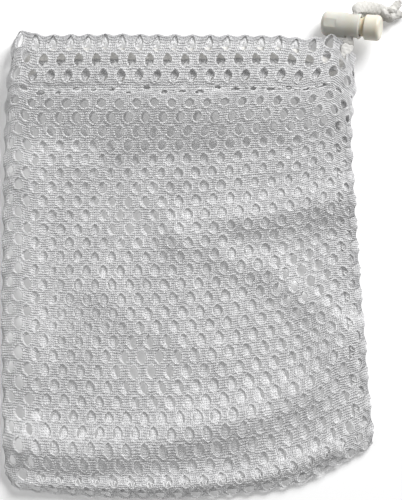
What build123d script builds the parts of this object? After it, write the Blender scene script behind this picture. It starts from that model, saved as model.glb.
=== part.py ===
"""A small drawstring mesh bag, lying flat: two knitted mesh halves, sewn at one side and along the
bottom, a hem at the mouth that holds the drawstring, and a spring-loaded barrel lock on the cord's
two ends. Millimetres. +Z is up off the surface that the bag lies on, +Y is towards the mouth, and the
origin is under the middle of the cloth."""

import os
from math import atan2, cos, degrees, pi, radians, sin, tan

from build123d import *

os.makedirs("parts", exist_ok=True)

# ---- driving dimensions ---------------------------------------------------------------------------

# the cloth
CLOTH = 0.7                 # thickness of the knitted mesh
SEAM_WIDTH = 5.0            # overlocked seam allowance, turned to the inside
SEAM_THICK = 1.6            # two plies and their thread
CHANNEL = 2.8               # clear height of the hem's tunnel, for the cord
HEM_LEFT, HEM_RIGHT = -59.0, 52.0   # the turned-in plies stop short of both corners

# how far the front half stands up: (y, height at the sides, height in the middle)
REACH = 76.0                # half the widest part of the bag, where the side heights are taken
CASING_SIDE, CASING_TOP = 9.0, 13.4
HEM_LINE = 72.0             # y of the hem's lower edge
FRONT_RISE = [
    (100.0, CASING_SIDE, CASING_TOP),
    (HEM_LINE, CASING_SIDE, CASING_TOP),
    (60.0, 4.0, 7.0),
    (0.0, 3.3, 5.6),
    (-60.0, 3.2, 5.0),
    (-100.0, 3.1, 3.8),
]

# the outline seen from above, clockwise from the mouth's left corner
LEFT_FOLD = [(-74.6, -82.0), (-76.0, -20.0), (-74.4, 67.0), (-71.2, 88.0)]
MOUTH_EDGE = [(-69.5, 95.1), (-62.0, 95.1), (-57.0, 93.2), (45.0, 91.9), (56.5, 92.2), (69.4, 90.4)]
SIDE_SEAM = [(67.9, 79.0), (66.8, 50.0), (69.2, 10.0), (72.7, -43.0), (76.0, -70.0)]
BOTTOM_SEAM = [(74.5, -74.5), (49.0, -88.0), (22.0, -93.4), (-20.0, -95.1), (-48.0, -93.4), (-73.0, -90.0)]
CORNER_ROUND = 3.0

# the drawstring
CORD = 2.2                  # diameter of the soft braid
CORD_GAP = 0.1              # between the two ends where they lie together
STITCH = (2.2, 0.5, 0.25)   # one visible thread of the hem, along x, y and z
STITCH_PITCH = 3.2

# the barrel lock
LOCK_R = 5.2                # outer radius of barrel and button
LOCK_TURN = -7.0            # degrees in plan, from +X
LOCK_TILT = 15.0            # degrees, the button's end is the high one
CORD_TURN = 8.0             # degrees in plan that the cords lean in the hole, towards the button
LOCK_CENTRE = Vector(66.8, 97.0, 8.1)      # where the cords cross the lock's axis
BARREL_BACK = -12.6         # closed end, along the lock's axis from that centre
BARREL_RIM = 3.4            # open end
BARREL_WALL = 1.1
BARREL_FLOOR = 1.6
BARREL_FLAT = (5.0, 0.28)   # a shallow moulded flat on top by the closed end: its length, its depth
CROSS_HOLE = (5.2, 5.4)     # the barrel's cord hole, along the axis and across it
STEM_CLEAR = 0.15           # radial running clearance of the plunger in the barrel
STEM_BACK = -6.6            # inner end of the plunger's stem
STEM_HOLE_BACK = -2.2       # its cord hole, which the spring holds off the barrel's hole
TRAVEL = 1.7                # how far the button presses in
SHOULDER = BARREL_RIM + TRAVEL + 0.2
BUTTON_END = 11.7
BUTTON_EDGE = 0.5           # rounding of the button's inner edge
SEAT_R, SEAT_DEPTH = 2.7, 2.0   # the spring's pocket in the stem
WIRE = 0.5                  # spring wire
SPRING_MEAN_R = 2.1
SPRING_TURNS = 4.5


def bow_radius(edge, top):
    """Radius of the arc that the front half follows across the bag."""
    return (REACH**2 + (top - edge) ** 2) / (2 * (top - edge))


def rise(x, edge, top):
    """Height of the front half's outer face at x, between its side and middle heights."""
    radius = bow_radius(edge, top)
    return top - radius + (radius**2 - x**2) ** 0.5


def crown(lower):
    """The solid under the front half's outer face, `lower` mm further down, from mouth to bottom."""
    with BuildPart() as body:
        for y, edge, top in FRONT_RISE:
            with BuildSketch(Plane.XZ.offset(-y)):
                with BuildLine():
                    Polyline((-REACH, edge - lower), (-REACH, 0), (REACH, 0), (REACH, edge - lower))
                    ThreePointArc((REACH, edge - lower), (0, top - lower), (-REACH, edge - lower))
                make_face()
        loft(ruled=True)
    return body.part


def casing_band(under, thick, front_y, back_y, left, right):
    """A ply or a gap of the front hem, `under` mm below the outer face, following its curve."""
    with BuildPart() as band:
        with BuildSketch(Plane.XZ.offset(-back_y)):
            with BuildLine():
                for depth in (under, under + thick):
                    ThreePointArc(
                        (left, rise(left, CASING_SIDE, CASING_TOP) - depth),
                        (0, CASING_TOP - depth),
                        (right, rise(right, CASING_SIDE, CASING_TOP) - depth),
                    )
                for x in (left, right):
                    height = rise(x, CASING_SIDE, CASING_TOP)
                    Line((x, height - under), (x, height - under - thick))
            make_face()
        extrude(amount=back_y - front_y)
    return band.part


def outline_prism(inset, height):
    """The bag's outline from above, drawn in by `inset`, as a prism from the surface up."""
    with BuildPart() as prism:
        with BuildSketch():
            with BuildLine():
                Polyline(*LEFT_FOLD, *MOUTH_EDGE, *SIDE_SEAM, *BOTTOM_SEAM, close=True)
            make_face()
            if inset:
                offset(amount=-inset, kind=Kind.INTERSECTION)
        extrude(amount=height)
    return prism.part


def finish(builder, label):
    builder.part.label = label
    export_step(builder.part, f"parts/{label}.step")
    print(f"{label}: {len(builder.part.solids())} solids, {builder.part.volume:.1f} mm3")


# ---- the two mesh halves ----------------------------------------------------------------------------

TALL = 20.0                 # more than the bag's height, for cuts right through it
WIDE = 220.0                # more than its width and length

with BuildPart() as back_mesh_panel:
    add(outline_prism(0, CLOTH))
    fillet(
        back_mesh_panel.edges().filter_by(Axis.Z).group_by(Axis.Y)[0],
        CORNER_ROUND,
    )
finish(back_mesh_panel, "back_mesh_panel")

MOUTH_LEFT, MOUTH_RIGHT = -66.0, 56.0
MOUTH_CUT = (80.0, 100.0)   # y of the opening between the halves
CASING_END = ((61.2, 71.2), (83.8, 95.3), 4.0)  # x and y of the casing's open end, and its sill
room_above = crown(CLOTH)
inside_outline = outline_prism(CLOTH, TALL)
with BuildPart() as bag_room:
    add(inside_outline)
    with BuildSketch():
        with Locations(((MOUTH_LEFT + MOUTH_RIGHT) / 2, sum(MOUTH_CUT) / 2)):
            Rectangle(MOUTH_RIGHT - MOUTH_LEFT, MOUTH_CUT[1] - MOUTH_CUT[0])
    extrude(amount=TALL)
    add(room_above, mode=Mode.INTERSECT)

with BuildPart() as front_mesh_panel:
    add(crown(0))
    add(outline_prism(0, TALL), mode=Mode.INTERSECT)
    add(bag_room.part, mode=Mode.SUBTRACT)
    # the half starts on the back half's upper face
    with Locations((0, 0, CLOTH / 2)):
        Box(WIDE, WIDE, CLOTH, mode=Mode.SUBTRACT)
    # the casing's open end, where the cord's two ends come out
    end_x, end_y, end_sill = CASING_END
    with BuildSketch(Plane.XY.offset(end_sill)):
        with Locations((sum(end_x) / 2, sum(end_y) / 2)):
            Rectangle(end_x[1] - end_x[0], end_y[1] - end_y[0])
    extrude(amount=TALL, mode=Mode.SUBTRACT)
finish(front_mesh_panel, "front_mesh_panel")

# ---- the hem that holds the cord ---------------------------------------------------------------------

TUNNEL_FRONT = HEM_LINE + 1.5
MOUTH_FOLD = 91.2
TUNNEL_BACK = MOUTH_FOLD - 1.5

with BuildPart() as front_casing_hem:
    add(casing_band(CLOTH, CHANNEL + CLOTH, HEM_LINE + 0.6, MOUTH_FOLD, HEM_LEFT, HEM_RIGHT))
    add(
        casing_band(CLOTH, CHANNEL, TUNNEL_FRONT, TUNNEL_BACK, HEM_LEFT - 1, HEM_RIGHT + 1),
        mode=Mode.SUBTRACT,
    )
finish(front_casing_hem, "front_casing_hem")

HEM_MIDDLE = ((HEM_LEFT + HEM_RIGHT) / 2, (HEM_LINE + 0.6 + MOUTH_FOLD) / 2)
with BuildPart() as back_casing_hem:
    with BuildSketch(Plane.XY.offset(CLOTH)):
        with Locations(HEM_MIDDLE):
            Rectangle(HEM_RIGHT - HEM_LEFT, MOUTH_FOLD - HEM_LINE - 0.6)
    extrude(amount=CHANNEL + CLOTH)
    with BuildSketch(Plane.XY.offset(CLOTH)):
        with Locations(HEM_MIDDLE):
            Rectangle(HEM_RIGHT - HEM_LEFT + 2, TUNNEL_BACK - TUNNEL_FRONT)
    extrude(amount=CHANNEL, mode=Mode.SUBTRACT)
finish(back_casing_hem, "back_casing_hem")

# ---- the seam allowances, inside ----------------------------------------------------------------------

EASE = 0.15


def seam_band(edge, inward):
    """The overlocked allowance along `edge`, lying on the back half; `inward` points into the bag."""
    near = [(x + inward[0] * (CLOTH + EASE), y + inward[1] * (CLOTH + EASE)) for x, y in edge]
    far = [(x + inward[0] * (CLOTH + SEAM_WIDTH), y + inward[1] * (CLOTH + SEAM_WIDTH)) for x, y in edge]
    with BuildPart() as band:
        with BuildSketch(Plane.XY.offset(CLOTH)):
            with BuildLine():
                Polyline(*near, *reversed(far), close=True)
            make_face()
        extrude(amount=SEAM_THICK)
    return band.part


SIDE_RUN = [(67.4, HEM_LINE - 1.0), *SIDE_SEAM[1:]]
BOTTOM_RUN = [*BOTTOM_SEAM[1:-1], (-68.0, -90.5)]

with BuildPart() as side_seam_allowance:
    add(seam_band(SIDE_RUN, (-1, 0)))
finish(side_seam_allowance, "side_seam_allowance")

with BuildPart() as bottom_seam_allowance:
    add(seam_band(BOTTOM_RUN, (0, 1)))
finish(bottom_seam_allowance, "bottom_seam_allowance")

# ---- thread -------------------------------------------------------------------------------------------


def between(edge, inward, depth, pitch):
    """Places `pitch` apart along `edge`, `depth` in from it, each with the edge's heading in degrees."""
    places = []
    for (x0, y0), (x1, y1) in zip(edge, edge[1:]):
        length = ((x1 - x0) ** 2 + (y1 - y0) ** 2) ** 0.5
        heading = degrees(atan2(y1 - y0, x1 - x0))
        count = int(length / pitch)
        for i in range(count):
            t = (i + 0.5) / count
            place = (x0 + (x1 - x0) * t + inward[0] * depth, y0 + (y1 - y0) * t + inward[1] * depth)
            places.append((*place, heading))
    return places


LIFT = 0.02                 # the thread lies just clear of the cloth
HEM_STITCH_Y = HEM_LINE + 1.1
hem_stitches = int((HEM_RIGHT - HEM_LEFT) / STITCH_PITCH)
hem_places = [HEM_LEFT + (i + 0.5) * STITCH_PITCH for i in range(hem_stitches)]

with BuildPart() as front_hem_stitching:
    for x in hem_places:
        height = rise(x, CASING_SIDE, CASING_TOP) + LIFT + STITCH[2] / 2
        lean = degrees(atan2(x, bow_radius(CASING_SIDE, CASING_TOP)))
        with Locations(Location((x, HEM_STITCH_Y, height), (0, lean, 0))):
            Box(*STITCH)
finish(front_hem_stitching, "front_hem_stitching")

with BuildPart() as back_hem_stitching:
    for x in hem_places:
        with Locations((x, HEM_STITCH_Y, CLOTH + CHANNEL + CLOTH + LIFT + STITCH[2] / 2)):
            Box(*STITCH)
finish(back_hem_stitching, "back_hem_stitching")

OVERLOCK = (SEAM_WIDTH - 1.4, 0.5, 0.25)    # one loop of the overlock thread, across the allowance
OVERLOCK_PITCH = 2.6


def overlock(edge, inward):
    """The thread loops across a seam allowance, slanted as the machine lays them."""
    slant = 20.0
    height = CLOTH + SEAM_THICK + LIFT + OVERLOCK[2] / 2
    with BuildPart() as thread:
        for x, y, heading in between(edge, inward, CLOTH + SEAM_WIDTH / 2, OVERLOCK_PITCH):
            with Locations(Location((x, y, height), (0, 0, heading + 90 - slant))):
                Box(*OVERLOCK)
    return thread.part


with BuildPart() as side_seam_stitching:
    add(overlock(SIDE_RUN, (-1, 0)))
finish(side_seam_stitching, "side_seam_stitching")

with BuildPart() as bottom_seam_stitching:
    add(overlock(BOTTOM_RUN, (0, 1)))
finish(bottom_seam_stitching, "bottom_seam_stitching")

# ---- the drawstring -----------------------------------------------------------------------------------

heading = radians(90 + LOCK_TURN - CORD_TURN)
CORD_WAY = Vector(cos(heading), sin(heading), 0)    # how the cords run through the lock
APART = (CORD + CORD_GAP) / 2
UPPER = LOCK_CENTRE + Vector(0, 0, APART)           # the front run's end crosses the lock above
LOWER = LOCK_CENTRE - Vector(0, 0, APART)           # the back run's end crosses it below
JOIN = 7.8                  # the ends leave the casing this far before the lock's centre
STRAIGHT = 3.2              # and are straight for this far before that


def tube(points):
    """A cord along straight runs and tangent arcs; also prints its length and its tightest bend."""
    route = [Vector(*p) for p in points]
    runs = [(b - a).length for a, b in zip(route, route[1:])]
    radii = []
    for i in range(1, len(route) - 1):
        turn = (route[i] - route[i - 1]).get_angle(route[i + 1] - route[i])
        radii.append(0.45 * min(runs[i - 1], runs[i]) / tan(radians(turn / 2)))
    with BuildPart() as cord:
        with BuildLine() as path:
            FilletPolyline(*route, radius=radii)
        with BuildSketch(Plane(route[0], z_dir=route[1] - route[0])):
            Circle(CORD / 2)
        sweep()
    length = sum(edge.length for edge in path.edges())
    share = cord.part.volume / (pi * (CORD / 2) ** 2 * length)
    print(f"cord {length:.1f} mm, radii {[round(r, 1) for r in radii]}, volume share {share:.4f}")
    return cord.part


HALF_CHANNEL = CLOTH + CHANNEL / 2


def in_front_hem(x, y):
    """A point in the middle of the front tunnel."""
    return (x, y, rise(x, CASING_SIDE, CASING_TOP) - HALF_CHANNEL)


LOOP = [
    tuple(UPPER - CORD_WAY * JOIN),
    tuple(UPPER - CORD_WAY * (JOIN + STRAIGHT)),
    (62.6, 83.2, 8.4),
    (59.6, 81.8, 8.45),
    (54.5, 82.8, 8.8),
    in_front_hem(48.0, 85.2),
    in_front_hem(22.0, 86.3),
    in_front_hem(-10.0, 85.0),
    in_front_hem(-40.0, 86.0),
    (-62.2, 85.0, 8.4),
    (-65.3, 82.5, 6.55),
    (-65.3, 79.0, 3.95),
    (-62.2, 76.5, 2.1),
    (-40.0, 77.2, HALF_CHANNEL),
    (-10.0, 76.2, HALF_CHANNEL),
    (20.0, 77.0, HALF_CHANNEL),
    (52.0, 76.3, HALF_CHANNEL),
    (57.6, 77.8, 3.2),
    (61.8, 81.6, 5.0),
    tuple(LOWER - CORD_WAY * (JOIN + STRAIGHT)),
    tuple(LOWER - CORD_WAY * JOIN),
]

with BuildPart() as drawstring:
    add(tube(LOOP))
finish(drawstring, "drawstring")

UPPER_END = [
    tuple(UPPER - CORD_WAY * JOIN),
    tuple(UPPER + CORD_WAY * 8.1),
    (75.5, 105.0, 2.4),
    (80.6, 103.6, 2.4),
]
LOWER_END = [
    tuple(LOWER - CORD_WAY * JOIN),
    tuple(LOWER + CORD_WAY * 7.2),
    (73.6, 102.3, 1.5),
    (80.4, 101.0, 2.2),
]

with BuildPart() as cord_end_upper:
    add(tube(UPPER_END))
finish(cord_end_upper, "cord_end_upper")

with BuildPart() as cord_end_lower:
    add(tube(LOWER_END))
finish(cord_end_lower, "cord_end_lower")

# the overhand knot that ties the two ends together, and the cut tips beyond it
KNOT_MIDDLE = Vector(82.3, 102.2, 2.9)
KNOT_SIZE = (6.0, 6.4, 5.2)
TIPS = [((83.2, 103.4, 2.6), (86.2, 107.2, 1.6)), ((83.8, 101.6, 2.4), (87.6, 102.6, 1.6))]

with BuildPart() as end_knot:
    with Locations(KNOT_MIDDLE):
        Box(*KNOT_SIZE)
    fillet(end_knot.edges(), 2.3)
    for start, end in TIPS:
        way = Vector(*end) - Vector(*start)
        with BuildSketch(Plane(start, z_dir=way)):
            Circle(CORD / 2)
        extrude(amount=way.length)
finish(end_knot, "end_knot")

# ---- the barrel lock ----------------------------------------------------------------------------------

turn, tilt = radians(LOCK_TURN), radians(LOCK_TILT)
LOCK_AXIS = Vector(cos(tilt) * cos(turn), cos(tilt) * sin(turn), sin(tilt))
LOCK_ACROSS = Vector(-sin(turn), cos(turn), 0)
LOCK_UP = LOCK_AXIS.cross(LOCK_ACROSS)
lock_plane = Plane(LOCK_CENTRE, x_dir=LOCK_ACROSS, z_dir=LOCK_AXIS)
hole_plane = Plane(LOCK_CENTRE, x_dir=LOCK_AXIS, z_dir=LOCK_ACROSS)

BORE_R = LOCK_R - BARREL_WALL
STEM_R = BORE_R - STEM_CLEAR

with BuildPart() as cord_lock_barrel:
    with BuildSketch(lock_plane.offset(BARREL_BACK)):
        Circle(LOCK_R)
    extrude(amount=BARREL_RIM - BARREL_BACK)
    along = cord_lock_barrel.edges().filter_by(GeomType.CIRCLE).sort_by(Axis(LOCK_CENTRE, LOCK_AXIS))
    fillet(along[0], 2.4)
    chamfer(along[-1], 0.4)
    with BuildSketch(lock_plane.offset(BARREL_BACK + BARREL_FLOOR)):
        Circle(BORE_R)
    extrude(amount=BARREL_RIM - BARREL_BACK, mode=Mode.SUBTRACT)
    with BuildSketch(hole_plane):
        RectangleRounded(*CROSS_HOLE, 1.6)
    extrude(amount=LOCK_R + 1, both=True, mode=Mode.SUBTRACT)
    # the flat faces up, square to the lock's axis and to its cord hole
    flat_length, flat_depth = BARREL_FLAT
    flat_plane = Plane(LOCK_CENTRE + LOCK_UP * (LOCK_R - flat_depth), x_dir=LOCK_AXIS, z_dir=LOCK_UP)
    with BuildSketch(flat_plane):
        with Locations((BARREL_BACK + 1.6 + flat_length / 2, 0)):
            Rectangle(flat_length, LOCK_R)
    extrude(amount=1.0, mode=Mode.SUBTRACT)
finish(cord_lock_barrel, "cord_lock_barrel")

STEM_HOLE_FRONT = -STEM_HOLE_BACK + TRAVEL + 0.2

with BuildPart() as cord_lock_plunger:
    with BuildSketch(lock_plane.offset(STEM_BACK)):
        Circle(STEM_R)
    extrude(amount=SHOULDER - STEM_BACK)
    with BuildSketch(lock_plane.offset(SHOULDER)):
        Circle(LOCK_R)
    extrude(amount=BUTTON_END - SHOULDER)
    along = cord_lock_plunger.edges().filter_by(GeomType.CIRCLE).sort_by(Axis(LOCK_CENTRE, LOCK_AXIS))
    fillet(along[-1], 1.5)
    along = cord_lock_plunger.edges().filter_by(GeomType.CIRCLE).sort_by(Axis(LOCK_CENTRE, LOCK_AXIS))
    fillet([edge for edge in along if abs(edge.radius - LOCK_R) < 0.01][0], BUTTON_EDGE)
    with BuildSketch(hole_plane):
        with Locations(((STEM_HOLE_BACK + STEM_HOLE_FRONT) / 2, 0)):
            RectangleRounded(STEM_HOLE_FRONT - STEM_HOLE_BACK, CROSS_HOLE[1], 1.6)
    extrude(amount=LOCK_R + 1, both=True, mode=Mode.SUBTRACT)
    with BuildSketch(lock_plane.offset(STEM_BACK)):
        Circle(SEAT_R)
    extrude(amount=SEAT_DEPTH, mode=Mode.SUBTRACT)
finish(cord_lock_plunger, "cord_lock_plunger")

SPRING_BACK = BARREL_BACK + BARREL_FLOOR + WIRE / 2 + 0.05
SPRING_FRONT = STEM_BACK + SEAT_DEPTH - WIRE / 2 - 0.05

with BuildPart() as cord_lock_spring:
    with BuildLine():
        coil = Helix(
            pitch=(SPRING_FRONT - SPRING_BACK) / SPRING_TURNS,
            height=SPRING_FRONT - SPRING_BACK,
            radius=SPRING_MEAN_R,
            center=LOCK_CENTRE + LOCK_AXIS * SPRING_BACK,
            direction=LOCK_AXIS,
        )
    with BuildSketch(Plane(coil @ 0, z_dir=coil % 0)):
        Circle(WIRE / 2)
    sweep(is_frenet=True)
finish(cord_lock_spring, "cord_lock_spring")
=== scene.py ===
"""Mesh laundry bag lying flat, with a drawstring and a barrel cord lock at one corner.

Lengths in the tables below are in millimetres, in the same frame as the CAD model:
+X right, +Y towards the mouth, +Z up from the floor. They become metres in to_metres().
"""

import math

import bpy
import numpy as np
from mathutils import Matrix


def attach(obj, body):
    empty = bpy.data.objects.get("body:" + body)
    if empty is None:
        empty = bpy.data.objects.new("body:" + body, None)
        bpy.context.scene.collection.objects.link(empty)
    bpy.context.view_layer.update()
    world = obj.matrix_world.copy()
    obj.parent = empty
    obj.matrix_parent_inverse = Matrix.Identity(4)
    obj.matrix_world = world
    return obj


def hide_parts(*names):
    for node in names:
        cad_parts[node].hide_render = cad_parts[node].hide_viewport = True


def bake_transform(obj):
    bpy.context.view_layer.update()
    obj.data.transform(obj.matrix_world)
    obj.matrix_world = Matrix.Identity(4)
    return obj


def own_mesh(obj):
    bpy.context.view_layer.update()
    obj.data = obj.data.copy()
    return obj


MM = 0.001
SEED = 11

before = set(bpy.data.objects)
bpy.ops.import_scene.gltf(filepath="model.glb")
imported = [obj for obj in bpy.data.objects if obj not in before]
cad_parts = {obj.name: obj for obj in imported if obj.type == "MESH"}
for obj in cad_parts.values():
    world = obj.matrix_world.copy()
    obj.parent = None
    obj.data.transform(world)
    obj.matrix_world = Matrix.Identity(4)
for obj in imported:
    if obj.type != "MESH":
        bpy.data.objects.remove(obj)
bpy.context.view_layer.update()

LOCK_CENTRE = np.array((66.8, 97.0, 8.1))
LOCK_AXIS = np.array((0.958726, -0.117717, 0.258819))  # from the barrel's closed end to the button
# darker, browner bands along the lock: painted shade in the gap where the button meets the barrel, a broad
# band round the middle and a stain at its edge; place along its axis, half width and strength
STAINS_AND_PAINTED_SHADE = ((4.6, 0.9, 0.55), (0.0, 3.4, 0.22), (10.4, 1.4, 0.22))


def to_metres(point):
    return tuple(MM * float(value) for value in point)


# ---------------- camera, lights and floor

VIEW_CENTRE = (5.3, 6.1)  # the middle of the photograph, over the bag
VIEW_HEIGHT = 203.2  # what the frame's height covers at the bag
VIEW_LEVEL = 6.0  # height above the floor at which that holds
CAMERA_DISTANCE = 1000.0
WORLD_STRENGTH = 0.22
FLOOR_GLOW = 0.14  # lifts the floor towards the white of the photograph's ground
# soft studio lights: place and size in metres, power in watts
LIGHTS = (("key", (0.60, 0.86, 0.64), 0.70, 20.0), ("fill", (-0.9, 0.1, 0.8), 0.9, 2.5))
FLOOR_HALF = 3.0  # metres


def add_camera():
    data = bpy.data.cameras.new("camera")
    data.sensor_fit = "VERTICAL"
    data.sensor_height = 24.0
    data.lens = data.sensor_height * CAMERA_DISTANCE / VIEW_HEIGHT
    data.clip_start = 0.01
    data.clip_end = 50.0
    camera = bpy.data.objects.new("camera", data)
    bpy.context.scene.collection.objects.link(camera)
    camera.location = to_metres((*VIEW_CENTRE, VIEW_LEVEL + CAMERA_DISTANCE))
    bpy.context.scene.camera = camera


def add_area_light(name, place, size, power):
    """A round light that faces the bag."""
    data = bpy.data.lights.new(name, "AREA")
    data.shape = "DISK"
    data.size = size
    data.energy = power
    light = bpy.data.objects.new(name, data)
    bpy.context.scene.collection.objects.link(light)
    light.location = place
    aim = -np.array(place)
    heading = math.atan2(aim[1], aim[0])
    dip = math.atan2(-aim[2], math.hypot(aim[0], aim[1]))
    light.rotation_euler = (math.pi / 2 - dip, 0.0, heading - math.pi / 2)


def add_world():
    world = bpy.data.worlds.new("studio")
    world.use_nodes = True
    background = world.node_tree.nodes["Background"]
    background.inputs["Color"].default_value = (1.0, 1.0, 1.0, 1.0)
    background.inputs["Strength"].default_value = WORLD_STRENGTH
    bpy.context.scene.world = world


add_camera()
add_world()
for light_settings in LIGHTS:
    add_area_light(*light_settings)
bpy.context.scene.view_settings.view_transform = "Standard"


# ---------------- node helpers

class Nodes:
    """A material's node tree, with short calls for the nodes used below."""

    def __init__(self, name):
        self.material = bpy.data.materials.new(name)
        self.material.use_nodes = True
        self.tree = self.material.node_tree
        self.surface = self.tree.nodes["Principled BSDF"]

    def add(self, kind, **settings):
        node = self.tree.nodes.new(kind)
        for key, value in settings.items():
            setattr(node, key, value)
        return node

    def plug(self, source, target):
        if isinstance(source, (int, float)):
            target.default_value = source
        else:
            self.tree.links.new(source, target)

    def math(self, operation, first, second=0.0, third=0.0):
        node = self.add("ShaderNodeMath", operation=operation)
        for value, socket in zip((first, second, third), node.inputs):
            self.plug(value, socket)
        return node.outputs[0]

    def noise(self, vector, scale, detail=2.0, roughness=0.5):
        node = self.add("ShaderNodeTexNoise")
        node.inputs["Scale"].default_value = scale
        node.inputs["Detail"].default_value = detail
        node.inputs["Roughness"].default_value = roughness
        self.tree.links.new(vector, node.inputs["Vector"])
        return node.outputs["Fac"]

    def object_vector(self):
        return self.add("ShaderNodeTexCoord").outputs["Object"]

    def uv_pair(self):
        split = self.add("ShaderNodeSeparateXYZ")
        self.tree.links.new(self.add("ShaderNodeUVMap", uv_map="lattice").outputs["UV"], split.inputs[0])
        return split.outputs["X"], split.outputs["Y"]

    def ramp(self, factor, stops):
        node = self.add("ShaderNodeValToRGB")
        elements = node.color_ramp.elements
        for index, (place, colour) in enumerate(stops):
            element = elements[index] if index < 2 else elements.new(place)
            element.position = place
            element.color = (*colour, 1.0)
        self.tree.links.new(factor, node.inputs["Fac"])
        return node.outputs["Color"]

    def bump(self, height, distance):
        node = self.add("ShaderNodeBump")
        node.inputs["Distance"].default_value = distance
        node.inputs["Strength"].default_value = 1.0
        self.tree.links.new(height, node.inputs["Height"])
        self.tree.links.new(node.outputs["Normal"], self.surface.inputs["Normal"])

    def colour(self, output):
        self.tree.links.new(output, self.surface.inputs["Base Color"])

    def roughness(self, output):
        self.plug(output, self.surface.inputs["Roughness"])

    def constants(self, **values):
        for key, value in values.items():
            self.surface.inputs[key.replace("_", " ")].default_value = value


TURN = 2.0 * math.pi
COURSES_PER_ROW = 6.0
WALES_PER_COLUMN = 9.0


def mesh_cloth_material(name, light, dark, painted_glow):
    """Warp-knit polyester: broken courses across, fainter wales down, a painted highlight on the edges
    round the holes, painted shade in the knit's grooves and where the cloth turns over.
    """
    kit = Nodes(name)
    u, v = kit.uv_pair()
    vector = kit.object_vector()
    drift = kit.noise(vector, 360.0, 2.0)
    strength = kit.noise(vector, 520.0, 1.0)
    fuzz = kit.noise(vector, 1500.0, 3.0, 0.65)
    sway = kit.math("MULTIPLY", drift, 8.0)
    course = kit.math("SINE", kit.math("MULTIPLY_ADD", v, TURN * COURSES_PER_ROW, sway))
    wale = kit.math("SINE", kit.math("MULTIPLY_ADD", u, TURN * WALES_PER_COLUMN, sway))
    swing = kit.math("MULTIPLY_ADD", strength, 2.4, -0.7)
    broken = kit.math("MULTIPLY", swing, kit.math("MULTIPLY_ADD", wale, 0.7, 1.0))
    knit = kit.math("MULTIPLY_ADD", kit.math("MULTIPLY", course, broken), 1.4,
                    kit.math("MULTIPLY", wale, 0.35))
    height = kit.math("MULTIPLY_ADD", fuzz, 2.6, knit)
    kit.bump(height, 0.00036)
    # the rim attribute brightens the colour round the holes as a painted highlight and darkens it at the
    # turned edges as painted shade
    rim = kit.add("ShaderNodeAttribute", attribute_name="rim").outputs["Fac"]
    patch = kit.noise(vector, 75.0, 2.0)
    # painted shade: the colour follows the knit's height, darker in its grooves and lighter on its courses
    tone = kit.math("MULTIPLY_ADD", height, 0.15, kit.math("MULTIPLY_ADD", patch, 0.4, 0.11))
    tone = kit.math("MULTIPLY_ADD", rim, 0.28, tone)
    kit.colour(kit.ramp(tone, ((0.10, dark), (0.85, light))))
    kit.roughness(kit.math("MULTIPLY_ADD", fuzz, 0.25, 0.20))
    # the little light of its own stands in for what passes through the thin yarns
    kit.constants(Sheen_Weight=0.25, Sheen_Roughness=0.4, Specular_IOR_Level=0.8,
                  Emission_Color=(1.0, 1.0, 1.0, 1.0), Emission_Strength=painted_glow,
                  Subsurface_Weight=0.6, Subsurface_Radius=(1.0, 1.0, 1.0), Subsurface_Scale=0.0006)
    return kit.material


def thread_material(name, light, dark):
    """Twisted sewing thread: fine noise along it and a satin surface."""
    kit = Nodes(name)
    vector = kit.object_vector()
    fibre = kit.noise(vector, 2600.0, 3.0, 0.6)
    kit.bump(fibre, 0.00006)
    kit.colour(kit.ramp(fibre, ((0.3, dark), (0.7, light))))
    kit.roughness(kit.math("MULTIPLY_ADD", fibre, 0.2, 0.45))
    kit.constants(Sheen_Weight=0.3, Sheen_Roughness=0.4)
    return kit.material


def cord_material(name, light, dark, painted_glow):
    """Soft braided cord: the braid is in the mesh, the yarns' fine filaments are here."""
    kit = Nodes(name)
    vector = kit.object_vector()
    fibre = kit.noise(vector, 2200.0, 4.0, 0.65)
    blotch = kit.noise(vector, 160.0, 2.0)
    kit.bump(fibre, 0.00012)
    mixed = kit.math("MULTIPLY_ADD", fibre, 0.6, kit.math("MULTIPLY", blotch, 0.4))
    kit.colour(kit.ramp(mixed, ((0.25, dark), (0.75, light))))
    kit.roughness(kit.math("MULTIPLY_ADD", fibre, 0.15, 0.62))
    # painted light: the cord glows a little on top of the lamps' light
    kit.constants(Sheen_Weight=0.3, Sheen_Roughness=0.5,
                  Emission_Color=(1.0, 0.99, 0.96, 1.0), Emission_Strength=painted_glow)
    return kit.material


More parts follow.
